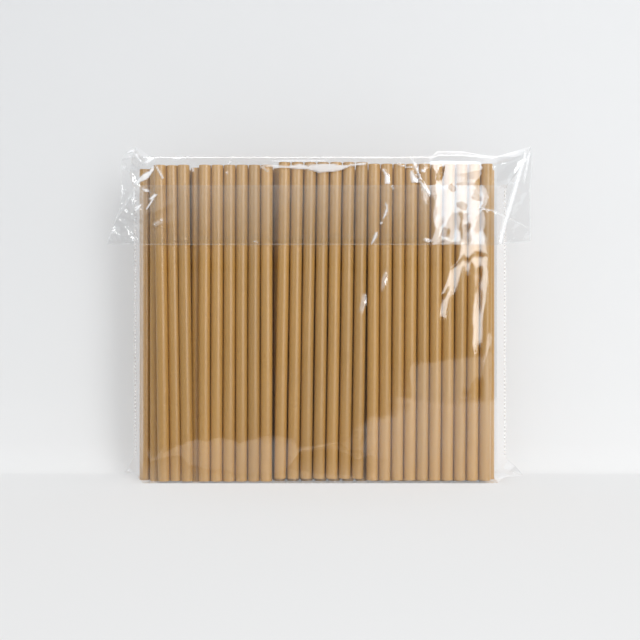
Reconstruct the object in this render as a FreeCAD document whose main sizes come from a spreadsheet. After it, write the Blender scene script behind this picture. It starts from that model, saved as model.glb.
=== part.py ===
import FreeCAD, Part

import math
import os

import Sketcher

# A retail pack of one hundred kraft drinking straws. The straws stand on end in four
# rows inside a clear film pouch, whose back panel folds over the top as a glued flap.
# Origin: middle of the footprint, on the surface the pack stands on. +X to the right
# seen from the front, -Y towards the viewer, +Z along the straws. Millimetres.

doc = FreeCAD.newDocument("straw_pack")

# Driving dimensions

DIMENSIONS = (
    # the straw
    ("straw_diameter", 7.6),
    ("straw_wall", 0.45),
    ("straw_length", 200.0),
    ("straw_clearance", 0.05),
    # front row: four bunches with a wider space after each of the first three
    ("bunch_one_count", 3),
    ("bunch_one_step", 7.48),
    ("bunch_one_lean", 0.7),
    ("bunch_one_lift", 0.95),
    ("space_one", 4.6),
    ("bunch_two_count", 6),
    ("bunch_two_step", 7.86),
    ("bunch_two_lean", -0.15),
    ("bunch_two_lift", 0.95),
    ("space_two", 2.5),
    ("bunch_three_count", 7),
    ("bunch_three_step", 8.17),
    ("bunch_three_lean", -0.8),
    ("bunch_three_lift", 2.7),
    ("space_three", 1.0),
    ("bunch_four_count", 10),
    ("bunch_four_step", 7.93),
    ("bunch_four_lean", -0.4),
    ("bunch_four_lift", 1.6),
    ("front_row_shift", 2.35),
    # rows behind, each spread evenly over its own half width
    ("second_row_count", 25),
    ("second_row_half", 105.5),
    ("second_row_shift", 0.2),
    ("third_row_count", 26),
    ("third_row_half", 111.1),
    ("third_row_shift", -1.7),
    ("back_row_count", 23),
    ("back_row_half", 95.5),
    ("back_row_shift", -0.3),
    ("least_row_rise", 5.6),
    ("back_straw_sides", 10),
    ("hidden_straw_sides", 8),
    # the film pouch
    ("film_thickness", 0.05),
    ("film_clearance", 0.32),
    ("head_room", 2.925),
    ("mouth_drop", 17.7),
    ("top_gable", 1.2),
    ("flap_drop", 55.2),
    ("flap_slack", 0.8),
    ("front_corner_room", 2.1),
    ("back_corner_room", 8.0),
    ("weld_room", 4.1),
    # the flap's wings, measured sideways from the corners of the front panel
    ("left_wing_reach", 24.7),
    ("left_wing_waist", 14.6),
    ("left_wing_tip", 5.3),
    ("right_wing_reach", 22.9),
    ("right_wing_waist", 22.1),
    ("right_wing_tip", 24.7),
    ("wing_rise", 9.6),
    ("wing_opening", 1.5),
    ("wing_sweep", 8.0),
    ("wing_crumple", 1.6),
    ("wing_waist_drop", 6.0),
    ("wing_hem_rise", 3.0),
    # the film's waves and the ears pinched at the foot
    ("panel_wave", 0.7),
    ("foot_ear_height", 15.0),
    ("left_foot_ear_reach", 5.6),
    ("left_foot_ear_lift", 4.5),
    ("right_foot_ear_reach", 10.8),
    ("right_foot_ear_lift", 2.5),
    ("foot_ear_opening", 0.7),
    # the strip of glue inside the flap
    ("strip_height", 6.0),
    ("strip_thickness", 0.06),
    ("strip_edge", 0.6),
    ("strip_side_margin", 1.5),
    ("strip_room_below", 8.0),
    ("strip_room_above", 6.0),
)

sheet = doc.addObject("Spreadsheet::Sheet", "dimensions")
for line, (alias, value) in enumerate(DIMENSIONS, start=1):
    sheet.set("A%d" % line, alias.replace("_", " "))
    sheet.set("B%d" % line, str(value))
    sheet.setAlias("B%d" % line, alias)
doc.recompute()


def size(alias):
    return float(sheet.get(alias))


def count(alias):
    return int(round(size(alias)))


# Straw positions: every straw is (x at mid length, y, height of its foot, lean in degrees)

straw_radius = size("straw_diameter") / 2
straw_length = size("straw_length")
centre_distance = size("straw_diameter") + size("straw_clearance")
bedding = size("film_thickness") / 2 + size("straw_clearance")


def sideways(straw, height):
    x, _, _, lean = straw
    return x + (straw_length / 2 - height) * math.sin(math.radians(lean))


def needed_depth(straw, other):
    """Least distance in y at which two straws stay clear over their whole length."""
    ends = [sideways(straw, z) - sideways(other, z) for z in (0, straw_length)]
    nearest = 0 if ends[0] * ends[1] < 0 else min(abs(end) for end in ends)
    if nearest >= centre_distance:
        return 0
    return math.sqrt(centre_distance**2 - nearest**2)


def settled(x, start_y, lift, lean, others):
    """The straw pushed back from start_y until it clears all those already in place."""
    straw = (x, start_y, lift, lean)
    walls = [(other[1], needed_depth(straw, other)) for other in others]
    walls = [(y, depth) for y, depth in walls if depth > 0]
    for y in sorted([start_y] + [y + depth for y, depth in walls]):
        if y >= start_y and all(abs(y - wy) > depth - 1e-6 for wy, depth in walls):
            return (x, y, lift, lean)


def front_row():
    straws = []
    x = 0.0
    for bunch in ("one", "two", "three", "four"):
        lean = size("bunch_%s_lean" % bunch)
        lift = size("bunch_%s_lift" % bunch) + bedding
        step = size("bunch_%s_step" % bunch)
        for number in range(count("bunch_%s_count" % bunch)):
            if number:
                x += step
            straws.append(settled(x, 0.0, lift, lean, straws))
        if bunch != "four":
            x += size("space_" + bunch) + size("straw_diameter")
    shift = size("front_row_shift") - x / 2
    return [(sx + shift, sy, lift, lean) for sx, sy, lift, lean in straws]


def row_behind(name, place, others):
    number = count(name + "_row_count")
    half = size(name + "_row_half")
    shift = size(name + "_row_shift")
    start_y = place * size("least_row_rise")
    row = []
    for step in range(number):
        x = shift - half + 2 * half * step / (number - 1)
        row.append(settled(x, start_y, bedding, 0.0, others + row))
    return row


front = front_row()
second = row_behind("second", 1, front)
third = row_behind("third", 2, front + second)
back = row_behind("back", 3, front + second + third)

# The stack is centred front to back, and the pouch is measured off it
straw_depth = max(y for _, y, _, _ in front + second + third + back)
middle_y = straw_depth / 2


def centred(row):
    return [(x, y - middle_y, lift, lean) for x, y, lift, lean in row]


front, second, third, back = (centred(row) for row in (front, second, third, back))


def straw_placement(straw):
    x, y, lift, lean = straw
    turn = FreeCAD.Rotation(FreeCAD.Vector(0, 1, 0), -lean)
    return FreeCAD.Placement(FreeCAD.Vector(sideways(straw, 0), y, lift), turn)


# Straws of the front row: a ring sketched on the floor plane and padded up


def origin_plane(body, role):
    return next(o for o in body.Origin.OriginFeatures if o.Role == role)


def straw_body(name, straw):
    body = doc.addObject("PartDesign::Body", name)
    body.Label = name
    sketch = body.newObject("Sketcher::SketchObject", name + "_ring")
    sketch.AttachmentSupport = [(origin_plane(body, "XY_Plane"), "")]
    sketch.MapMode = "FlatFace"
    centre = FreeCAD.Vector(0, 0, 0)
    upright = FreeCAD.Vector(0, 0, 1)
    for radius in (straw_radius, straw_radius - size("straw_wall")):
        sketch.addGeometry(Part.Circle(centre, upright, radius), False)
    for circle, bound_name in enumerate(("outside", "bore")):
        sketch.addConstraint(Sketcher.Constraint("Coincident", circle, 3, -1, 1))
        radius = straw_radius - circle * size("straw_wall")
        index = sketch.addConstraint(Sketcher.Constraint("Radius", circle, radius))
        sketch.renameConstraint(index, bound_name)
    sketch.setExpression("Constraints.outside", "dimensions.straw_diameter / 2")
    sketch.setExpression(
        "Constraints.bore", "dimensions.straw_diameter / 2 - dimensions.straw_wall"
    )
    pad = body.newObject("PartDesign::Pad", name + "_tube")
    pad.Profile = sketch
    pad.setExpression("Length", "dimensions.straw_length")
    body.Placement = straw_placement(straw)
    return body


nodes = []
for number, straw in enumerate(front, start=1):
    nodes.append(straw_body("straw_front_%02d" % number, straw))

# Straws behind the front row: the same tube with fewer faces, all of one diameter


def prism(name, sides, radius_expression):
    solid = doc.addObject("Part::Prism", name)
    solid.Polygon = sides
    solid.setExpression("Circumradius", radius_expression)
    solid.setExpression("Height", "dimensions.straw_length")
    return solid


def faceted_straw(name, sides):
    tube = doc.addObject("Part::Cut", name)
    tube.Label = name
    tube.Base = prism(name + "_outside", sides, "dimensions.straw_diameter / 2")
    tube.Tool = prism(
        name + "_bore", sides, "dimensions.straw_diameter / 2 - dimensions.straw_wall"
    )
    return tube


for number, straw in enumerate(back, start=1):
    tube = faceted_straw("straw_back_%02d" % number, count("back_straw_sides"))
    tube.Placement = straw_placement(straw)
    nodes.append(tube)

# The two hidden rows, kept together row by row

hidden_straw = faceted_straw("hidden_straw", count("hidden_straw_sides"))
doc.recompute()


def straw_row(name, row):
    tubes = []
    for straw in row:
        tube = hidden_straw.Shape.copy()
        tube.Placement = straw_placement(straw)
        tubes.append(tube)
    group = doc.addObject("Part::Feature", name)
    group.Label = name
    group.Shape = Part.makeCompound(tubes)
    return group


nodes.append(straw_row("straws_second_row", second))
nodes.append(straw_row("straws_third_row", third))

# The pouch: one sheet folded at the foot and welded up both sides. Its long side runs
# up the back, over the top and down the front as the flap; its short side is the
# front panel. Each line across the sheet goes from the left edge to the right edge
# through two corners, and the lines make a lattice of flat facets.

film = size("film_thickness")
room = straw_radius + size("film_clearance")
panel_front = min(y for _, y, _, _ in front) - room
panel_back = max(y for _, y, _, _ in back) + room


def widest(row):
    reach = max(abs(sideways(straw, z)) for straw in row for z in (0, straw_length))
    return reach + straw_radius


front_corner = widest(front) + size("front_corner_room")
back_corner = widest(back) + size("back_corner_room")
weld = widest(third) + size("weld_room")
top = max(lift for _, _, lift, _ in front) + straw_length + size("head_room")
mouth = top - size("mouth_drop")
gable = size("top_gable")
flap_front = panel_front - film - size("strip_thickness")
flap_loose = panel_front - size("flap_slack")
flap_edge = top - size("flap_drop")
strip_low = flap_edge + size("strip_edge")
strip_high = strip_low + size("strip_height")
wing_rise = size("wing_rise")
wing_top = top + wing_rise
ear = size("foot_ear_height")
ear_gap = size("foot_ear_opening")
wave = size("panel_wave")

SIDE_STEPS = 4
PANEL_STEPS = 6
LEFT_BEAT = 2.6
RIGHT_BEAT = 2.2
HEEL_SHARE = 0.55


def between(start, end, share):
    return tuple(a + (b - a) * share for a, b in zip(start, end))


def film_line(left, left_corner, right_corner, right, swell=0.0, crumple=0.0, beat=0.0):
    """Points across the sheet; swell bows the panel and crumple creases the sides."""
    points = []
    for step in range(SIDE_STEPS):
        x, y, z = between(left, left_corner, step / SIDE_STEPS)
        points.append((x, y + crumple * math.sin(LEFT_BEAT * step + beat), z))
    for step in range(PANEL_STEPS + 1):
        x, y, z = between(left_corner, right_corner, step / PANEL_STEPS)
        bow = swell * abs(math.sin(math.pi * step / PANEL_STEPS + beat * step))
        points.append((x, y + bow, z))
    for step in range(1, SIDE_STEPS + 1):
        x, y, z = between(right_corner, right, step / SIDE_STEPS)
        points.append((x, y + crumple * math.sin(RIGHT_BEAT * step + beat), z))
    return points


def mirrored_line(corner_x, y, z, edge_x, edge_y, edge_z, **shape):
    left = (-edge_x, edge_y, edge_z)
    right = (edge_x, edge_y, edge_z)
    return film_line(left, (-corner_x, y, z), (corner_x, y, z), right, **shape)


def ear_point(side, share):
    """A point of the pinched ear's edge, from the weld above it to its tip at share 1."""
    sign = -1 if side == "left" else 1
    root = (sign * weld, 0.0, ear)
    reach = weld + size(side + "_foot_ear_reach")
    tip = (sign * reach, 0.0, size(side + "_foot_ear_lift"))
    return between(root, tip, share)


def foot_line(corner_x, y, ear_share, opening):
    """A line on the floor whose two end points lift off into the ears."""
    floor = film / 2
    points = mirrored_line(corner_x, y, floor, weld, opening, floor)
    points[0] = ear_point("left", ear_share)
    points[-1] = ear_point("right", ear_share)
    return points


# lines up to the mouth: three equal steps to below the strip, then its upper side
under_strip = strip_low - size("strip_room_below")
over_strip = strip_high + size("strip_room_above")
weld_step = (under_strip - ear) / 3
weld_heights = (ear, ear + weld_step, ear + 2 * weld_step, under_strip, over_strip, mouth)
swells = (0.0, wave, wave, 0.0, 0.0, 0.0)

fold_line = foot_line(back_corner, 0.0, 1.0, 0.0)
back_lines = [foot_line(back_corner, panel_back, HEEL_SHARE, ear_gap)]
front_lines = [foot_line(front_corner, panel_front, HEEL_SHARE, -ear_gap)]
for beat, (height, swell) in enumerate(zip(weld_heights, swells)):
    back_lines.append(
        mirrored_line(back_corner, panel_back, height, weld, 0, height, swell=swell, beat=beat)
    )
    front_lines.append(
        mirrored_line(front_corner, panel_front, height, weld, 0, height, swell=-swell, beat=beat)
    )


def wing_x(side, part):
    return front_corner + size("%s_wing_%s" % (side, part))


left_tip = wing_x("left", "tip")
left_waist = wing_x("left", "waist")
left_reach = wing_x("left", "reach")
right_tip = wing_x("right", "tip")
right_waist = wing_x("right", "waist")
right_reach = wing_x("right", "reach")
sweep = size("wing_sweep")
opening = size("wing_opening")
creases = size("wing_crumple")
waist = mouth - size("wing_waist_drop")
hem = size("wing_hem_rise")

# Up the back of the wings, over the top fold, then down the front of the wings. Each
# line has the height of its panel, of its two edges and how strongly it is creased.
back_wings = (
    # edge x left and right, edge y, panel y and height, edge height, crease share
    (
        (weld + left_waist) / 2, (weld + right_waist) / 2, opening,
        panel_back, (mouth + top) / 2, (mouth + top) / 2, 0.6,
    ),
    (
        (left_waist + left_tip) / 2, (right_waist + right_tip) / 2, opening,
        panel_back, top - gable, top + wing_rise / 3, 0.5,
    ),
    (left_tip, right_tip, 0.0, 0.0, top, wing_top, 0.0),
)
front_wings = (
    (left_waist, right_tip, -opening, panel_front, top - gable, top + wing_rise / 6, 0.5),
    (
        left_waist, right_waist, -sweep * 0.6,
        flap_loose, (top + waist) / 2, (wing_top + waist) / 2, 1.0,
    ),
    (left_waist, right_waist, -sweep, flap_loose, waist, waist, 1.0),
    (
        (left_waist + left_reach) / 2, right_reach, -sweep,
        flap_front, strip_high + hem, strip_high + 2 * hem, 1.0,
    ),
    (left_reach, right_reach, -sweep, flap_front, flap_edge, flap_edge + hem / 2, 0.6),
)

long_side = [fold_line] + back_lines
for corner_x, wings in ((back_corner, back_wings), (front_corner, front_wings)):
    for left_x, right_x, edge_y, y, z, edge_z, crease_share in wings:
        long_side.append(
            film_line(
                (-left_x, edge_y, edge_z), (-corner_x, y, z), (corner_x, y, z),
                (right_x, edge_y, edge_z),
                crumple=creases * crease_share, beat=len(long_side),
            )
        )
short_side = [fold_line] + front_lines


def film_lattice():
    """Vertices and triangles of the sheet; both sides share the fold and the welds."""
    vertices = []
    numbers = {}

    def number_of(point):
        key = tuple(round(value, 6) for value in point)
        if key not in numbers:
            numbers[key] = len(vertices)
            vertices.append(FreeCAD.Vector(*point))
        return numbers[key]

    triangles = []
    for lines, outwards in ((long_side, False), (short_side, True)):
        rows = [[number_of(point) for point in line] for line in lines]
        for lower, upper in zip(rows, rows[1:]):
            for column, (a, b, c, d) in enumerate(zip(lower, lower[1:], upper[1:], upper)):
                on_left = column < len(lower) // 2
                halves = ((a, b, c), (a, c, d)) if on_left else ((a, b, d), (b, c, d))
                for triangle in halves:
                    if len(set(triangle)) == 3:
                        triangles.append(triangle if outwards else triangle[::-1])
    return vertices, triangles


def thickened(vertices, triangles, thickness):
    """A closed skin of flat triangles, half the thickness to each side of the sheet."""
    normals = [FreeCAD.Vector() for _ in vertices]
    edges = set()
    for triangle in triangles:
        a, b, c = (vertices[i] for i in triangle)
        face = (b - a).cross(c - a)
        face.normalize()
        for i, (left, right) in zip(triangle, ((b - a, c - a), (c - b, a - b), (a - c, b - c))):
            normals[i] += face * left.getAngle(right)
        for start, end in zip(triangle, triangle[1:] + triangle[:1]):
            edges.add((start, end))
    for normal in normals:
        normal.normalize()
    half = thickness / 2
    points = [v + n * half for v, n in zip(vertices, normals)]
    points += [v - n * half for v, n in zip(vertices, normals)]
    shift = len(vertices)
    skin = list(triangles)
    skin += [(c + shift, b + shift, a + shift) for a, b, c in triangles]
    for start, end in edges:
        if (end, start) not in edges:
            skin.append((start, start + shift, end + shift))
            skin.append((start, end + shift, end))
    return points, skin


def solid_of(points, skin):
    faces = Part.Shape()
    faces.makeShapeFromMesh((points, skin), 1e-4)
    shell = Part.Shell(faces.Faces)
    solid = Part.Solid(shell)
    if solid.Volume < 0:
        solid.reverse()
    return solid


bag_film = doc.addObject("Part::Feature", "bag_film")
bag_film.Label = "bag_film"
bag_film.Shape = solid_of(*thickened(*film_lattice(), film))
nodes.append(bag_film)

# The strip of glue that holds the flap down on the front panel

strip = doc.addObject("Part::Box", "adhesive_strip")
strip.Label = "adhesive_strip"
strip.Length = 2 * (front_corner - size("strip_side_margin"))
strip.setExpression("Width", "dimensions.strip_thickness")
strip.setExpression("Height", "dimensions.strip_height")
strip_y = (panel_front + flap_front - size("strip_thickness")) / 2
strip.Placement.Base = FreeCAD.Vector(-strip.Length.Value / 2, strip_y, strip_low)
nodes.append(strip)

doc.recompute()

# Checks, then one file for each piece

for item in doc.Objects:
    if "Invalid" in item.State or "Error" in item.State:
        raise RuntimeError(item.Label + " did not recompute")
for node in nodes:
    if node.Shape.isNull() or not node.Shape.isValid():
        raise RuntimeError(node.Label + " has no valid shape")

os.makedirs("parts", exist_ok=True)
for node in nodes:
    node.Shape.exportStep("parts/%s.step" % node.Label)
print("%d pieces" % len(nodes))
print("film volume %.0f mm3" % bag_film.Shape.Volume)
print("stack depth %.2f mm" % (panel_back - panel_front))
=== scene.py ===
import math

import bmesh
import bpy
import numpy as np
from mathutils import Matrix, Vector


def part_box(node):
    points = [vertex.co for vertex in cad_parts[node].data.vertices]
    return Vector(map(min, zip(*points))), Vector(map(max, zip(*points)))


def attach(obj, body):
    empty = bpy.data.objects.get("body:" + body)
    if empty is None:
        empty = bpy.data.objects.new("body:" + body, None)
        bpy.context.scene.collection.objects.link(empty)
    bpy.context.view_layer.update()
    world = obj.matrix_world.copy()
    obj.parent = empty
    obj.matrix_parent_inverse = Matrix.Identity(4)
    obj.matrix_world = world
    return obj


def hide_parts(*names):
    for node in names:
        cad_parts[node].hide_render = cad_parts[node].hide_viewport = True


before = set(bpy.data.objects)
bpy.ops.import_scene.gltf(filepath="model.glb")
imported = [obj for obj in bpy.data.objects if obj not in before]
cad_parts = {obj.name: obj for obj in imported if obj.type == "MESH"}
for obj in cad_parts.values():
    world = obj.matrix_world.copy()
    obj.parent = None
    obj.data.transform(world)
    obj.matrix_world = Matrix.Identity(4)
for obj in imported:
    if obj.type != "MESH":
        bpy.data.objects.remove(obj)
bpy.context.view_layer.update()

MM = 0.001
BODY = "root"

# Straws
# Each straw is a plain tube of brown kraft fibre, wound thin and cut square at both
# ends. They stand loose in the pouch. Those in front lean a little, bunch by bunch, and
# every one is bowed in its own way.

STRAW_DIAMETER = 7.6 * MM
STRAW_WALL = 0.45 * MM
STRAW_LENGTH = 200.0 * MM
KRAFT_SIDES = 32
KRAFT_RINGS = 10
KRAFT_BOW = 0.10 * MM
BOW_SWING = 5.0
BOW_SPREAD = 7.0
RIM_ANGLE = math.radians(40)


def straw_axes(name):
    """Foot and head of the axis of every straw in a node, from left to right."""
    shell = bmesh.new()
    shell.from_mesh(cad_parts[name].data)
    bmesh.ops.remove_doubles(shell, verts=shell.verts, dist=0.001 * MM)
    waiting = set(shell.verts)
    axes = []
    while waiting:
        tube = []
        front_line = [waiting.pop()]
        while front_line:
            corner = front_line.pop()
            tube.append(corner.co.copy())
            beside = [edge.other_vert(corner) for edge in corner.link_edges]
            beside = [other for other in beside if other in waiting]
            waiting.difference_update(beside)
            front_line.extend(beside)
        middle = sum((point.z for point in tube), 0.0) / len(tube)
        feet = [point for point in tube if point.z < middle]
        heads = [point for point in tube if point.z >= middle]
        foot = sum(feet, Vector()) / len(feet)
        head = sum(heads, Vector()) / len(heads)
        axes.append((foot, head))
    shell.free()
    return sorted(axes, key=lambda axis: axis[0].x)


def new_tree(name, inputs):
    """A Geometry Nodes tree with a geometry in and out and the named inputs."""
    tree = bpy.data.node_groups.new(name, "GeometryNodeTree")
    sockets = tree.interface
    sockets.new_socket("Geometry", in_out="INPUT", socket_type="NodeSocketGeometry")
    for label, kind in inputs:
        sockets.new_socket(label, in_out="INPUT", socket_type=kind)
    sockets.new_socket("Geometry", in_out="OUTPUT", socket_type="NodeSocketGeometry")
    return tree


def add(tree, kind, inputs=None, **settings):
    """A node with its settings and its inputs, each a value or another node's socket."""
    node = tree.nodes.new(kind)
    for key, value in settings.items():
        setattr(node, key, value)
    for key, value in (inputs or {}).items():
        if isinstance(value, bpy.types.NodeSocket):
            tree.links.new(value, node.inputs[key])
        else:
            node.inputs[key].default_value = value
    return node


def straw_tree():
    """An open tube with square ends on every point, leaning with it and a little bowed."""
    tree = new_tree("kraft straw", (
        ("Diameter", "NodeSocketFloat"), ("Wall", "NodeSocketFloat"),
        ("Length", "NodeSocketFloat"), ("Sides", "NodeSocketInt"),
        ("Rings", "NodeSocketInt"), ("Bow", "NodeSocketFloat"),
        ("Material", "NodeSocketMaterial"),
    ))
    given = add(tree, "NodeGroupInput").outputs

    def maths(operation, a, b):
        return add(tree, "ShaderNodeMath", {0: a, 1: b}, operation=operation).outputs[0]

    radius = maths("MULTIPLY", given["Diameter"], 0.5)
    bore = maths("SUBTRACT", radius, given["Wall"])
    middle = maths("MULTIPLY", given["Length"], 0.5)

    def wall(radius_socket):
        return add(tree, "GeometryNodeMeshCylinder", {
            "Vertices": given["Sides"], "Side Segments": given["Rings"],
            "Radius": radius_socket, "Depth": given["Length"],
        }, fill_type="NONE").outputs["Mesh"]

    def rim():
        return add(tree, "GeometryNodeMeshCone", {
            "Vertices": given["Sides"], "Radius Top": bore, "Radius Bottom": radius,
            "Depth": 0.0,
        }, fill_type="NONE").outputs["Mesh"]

    def moved(mesh, z):
        shift = add(tree, "ShaderNodeCombineXYZ", {"Z": z}).outputs[0]
        return add(tree, "GeometryNodeTransform", {"Geometry": mesh, "Translation": shift}).outputs[0]

    def flipped(mesh):
        return add(tree, "GeometryNodeFlipFaces", {"Mesh": mesh}).outputs[0]

    tube = add(tree, "GeometryNodeJoinGeometry")
    half_down = maths("MULTIPLY", given["Length"], -0.5)
    pieces = (wall(radius), flipped(wall(bore)), moved(rim(), middle), flipped(moved(rim(), half_down)))
    for piece in pieces:
        tree.links.new(piece, tube.inputs[0])
    welded = add(tree, "GeometryNodeMergeByDistance", {
        "Geometry": moved(tube.outputs[0], middle), "Distance": 0.02 * MM,
    }).outputs[0]

    lean = add(tree, "GeometryNodeInputNamedAttribute", {"Name": "lean"}).outputs[0]
    turn = add(tree, "GeometryNodeInputNamedAttribute", {"Name": "turn"}).outputs[0]
    euler = add(tree, "ShaderNodeCombineXYZ", {"Y": lean}).outputs[0]
    rotation = add(tree, "FunctionNodeEulerToRotation", {"Euler": euler}).outputs[0]
    placed = add(tree, "GeometryNodeInstanceOnPoints", {
        "Points": given["Geometry"], "Instance": welded, "Rotation": rotation,
    }).outputs[0]
    real = add(tree, "GeometryNodeRealizeInstances", {"Geometry": placed}).outputs[0]

    # the bow: the whole section drifts sideways, and both ends stay where they are
    place = add(tree, "GeometryNodeInputPosition").outputs[0]
    height = add(tree, "ShaderNodeSeparateXYZ", {0: place}).outputs["Z"]
    share = maths("DIVIDE", height, given["Length"])
    rise = maths("SINE", maths("MULTIPLY", share, math.pi), 0.0)
    phase = maths("MULTIPLY", turn, BOW_SPREAD)
    swing = maths("SINE", maths("ADD", maths("MULTIPLY", share, BOW_SWING), phase), 0.0)
    drift = maths("MULTIPLY", maths("MULTIPLY", rise, swing), given["Bow"])
    offset = add(tree, "ShaderNodeCombineXYZ", {"X": drift}).outputs[0]
    bowed = add(tree, "GeometryNodeSetPosition", {"Geometry": real, "Offset": offset}).outputs[0]
    dressed = add(tree, "GeometryNodeSetMaterial", {
        "Geometry": bowed, "Material": given["Material"],
    }).outputs[0]
    add(tree, "NodeGroupOutput", {"Geometry": dressed})
    return tree


def shader_tree(name):
    """A new material with an empty node tree."""
    material = bpy.data.materials.new(name)
    material.use_nodes = True
    material.node_tree.nodes.clear()
    return material, material.node_tree


def ramp(tree, factor, *stops):
    """A colour that changes with the factor, through the colours of the stops."""
    node = add(tree, "ShaderNodeValToRGB", {"Fac": factor})
    elements = node.color_ramp.elements
    elements[0].position, elements[0].color = stops[0][0], (*stops[0][1], 1)
    elements[1].position, elements[1].color = stops[-1][0], (*stops[-1][1], 1)
    for position, colour in stops[1:-1]:
        elements.new(position).color = (*colour, 1)
    return node.outputs["Color"]


def kraft():
    """Brown kraft fibre: fine pale and dark flecks, and a tone of its own for each straw."""
    material, tree = shader_tree("kraft_fibre")
    place = add(tree, "ShaderNodeTexCoord").outputs["Object"]
    tone = add(tree, "ShaderNodeAttribute", attribute_name="tone").outputs["Fac"]
    long_grain = add(tree, "ShaderNodeMapping", {"Vector": place, "Scale": (1, 1, 0.3)}).outputs[0]
    fleck = add(tree, "ShaderNodeTexNoise", {
        "Vector": long_grain, "Scale": 2600.0, "Detail": 4.0, "Roughness": 0.6,
    }).outputs["Fac"]
    cloud = add(tree, "ShaderNodeTexNoise", {
        "Vector": long_grain, "Scale": 60.0, "Detail": 3.0, "Roughness": 0.5,
    }).outputs["Fac"]
    fibre = ramp(
        tree, fleck,
        (0.25, (0.378, 0.182, 0.030)), (0.50, (0.468, 0.248, 0.050)), (0.75, (0.555, 0.326, 0.084)),
    )
    shade = add(tree, "ShaderNodeMath", {0: cloud, 1: tone}, operation="ADD").outputs[0]
    depth = add(tree, "ShaderNodeMapRange", {
        "Value": shade, "From Min": 0.35, "From Max": 1.65, "To Min": 0.90, "To Max": 1.10,
    }).outputs[0]
    toned = add(tree, "ShaderNodeVectorMath", {0: fibre, "Scale": depth}, operation="SCALE").outputs[0]
    gloss = add(tree, "ShaderNodeMapRange", {
        "Value": fleck, "From Min": 0.3, "From Max": 0.7, "To Min": 0.40, "To Max": 0.34,
    }).outputs[0]
    bump = add(tree, "ShaderNodeBump", {
        "Height": fleck, "Strength": 0.12, "Distance": 0.02 * MM,
    }).outputs[0]
    surface = add(tree, "ShaderNodeBsdfPrincipled", {
        "Base Color": toned, "Roughness": gloss, "Normal": bump, "IOR": 1.5,
        "Specular IOR Level": 0.9,
    })
    add(tree, "ShaderNodeOutputMaterial", {"Surface": surface.outputs[0]})
    return material


def with_tree(obj, tree, **values):
    """Runs the tree on the object and leaves its result as the object's plain mesh."""
    modifier = obj.modifiers.new(tree.name, "NODES")
    modifier.node_group = tree
    for item in tree.interface.items_tree:
        if item.in_out == "INPUT" and item.name in values:
            modifier[item.identifier] = values[item.name]
    shown = obj.evaluated_get(bpy.context.evaluated_depsgraph_get())
    mesh = bpy.data.meshes.new_from_object(shown)
    obj.modifiers.clear()
    obj.data = mesh
    mesh.name = obj.name
    return mesh


KRAFT = kraft()
STRAW_TREE = straw_tree()
straw_chance = np.random.default_rng(26)


def straws(name, node):
    """All the straws of one CAD node, at the places that its tubes have."""
    axes = straw_axes(node)
    mesh = bpy.data.meshes.new(name)
    mesh.from_pydata([foot for foot, head in axes], [], [])
    leans = [math.atan2(head.x - foot.x, head.z - foot.z) for foot, head in axes]
    values = {
        "lean": leans,
        "turn": straw_chance.uniform(-math.pi, math.pi, len(axes)),
        "tone": straw_chance.uniform(0, 1, len(axes)),
    }
    for label, numbers in values.items():
        attribute = mesh.attributes.new(label, "FLOAT", "POINT")
        attribute.data.foreach_set("value", np.array(numbers, np.float32))
    piece = bpy.data.objects.new(name, mesh)
    bpy.context.collection.objects.link(piece)
    made = with_tree(
        piece, STRAW_TREE, Diameter=STRAW_DIAMETER, Wall=STRAW_WALL, Length=STRAW_LENGTH,
        Sides=KRAFT_SIDES, Rings=KRAFT_RINGS, Bow=KRAFT_BOW, Material=KRAFT,
    )
    made.shade_smooth()
    made.set_sharp_from_angle(angle=RIM_ANGLE)
    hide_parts(node)
    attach(piece, BODY)


for node in sorted(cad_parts):
    if node.startswith("straw"):
        straws("kraft_" + node, node)

# Pouch
# One sheet of thin clear film, folded at the foot and welded up both sides. Its back
# panel is longer, folds over the top as a flap and is glued down on the front panel.
# The wings at the flap's ends stand free and are crumpled, and two small ears of film
# stick out at the foot.

FILM_GAP = 0.3 * MM
PANEL_FRONT = min(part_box("straw_front_%02d" % number)[0].y for number in range(1, 27)) - FILM_GAP
PANEL_BACK = max(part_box("straw_back_%02d" % number)[1].y for number in range(1, 24)) + FILM_GAP
FRONT_CORNER = 111.5 * MM
BACK_CORNER = 107.3 * MM
WELD = 120.7 * MM
FILM_FLOOR = 0.03 * MM
MOUTH = 188 * MM
TOP_FOLD = 205.7 * MM
FLAP_EDGE = 150.5 * MM
EAR = 15 * MM
MOUTH_PLACE = 204 * MM
FLAP_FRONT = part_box("adhesive_strip")[0].y - 0.03 * MM
SIDE_COLUMNS = 28
PANEL_COLUMNS = 280
DENT_SLOPE = 0.5
CORNER_SHEEN = 0.22
FLAP_EDGE_MILK_AND_SHINE = 0.22
MOUTH_MILK_AND_SHINE = 0.05
WING_EDGE_MILK_AND_SHINE = 0.30
WELD_MILK = 0.14
CREASE_EDGE = 0.5 * MM
SPOTS = 64
CROWN_WAVE = 0.35 * MM
CROWN_BULGE = 5.0 * MM
STRAW_MARK = 0.003 * MM
STRAW_STEP = 8 * MM
FINE_CRUMPLE = 0.45
CRUMPLE_MIDDLE = 0.35
BACK_SHIFT = 300 * MM
BEHIND_SHIFT = 50 * MM


def mm(*values):
    """A point whose coordinates are given in mm."""
    return np.array(values, float) * MM


def rail_line(corner_x, y, z, left, right):
    """Left edge, left corner, right corner and right edge of one line across the sheet."""
    return np.array([left, (-corner_x, y, z), (corner_x, y, z), right])


def welded(corner_x, y, z):
    """The same where the edges are welded together in the middle of the pack's depth."""
    return rail_line(corner_x, y, z, (-WELD, 0, z), (WELD, 0, z))


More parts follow.
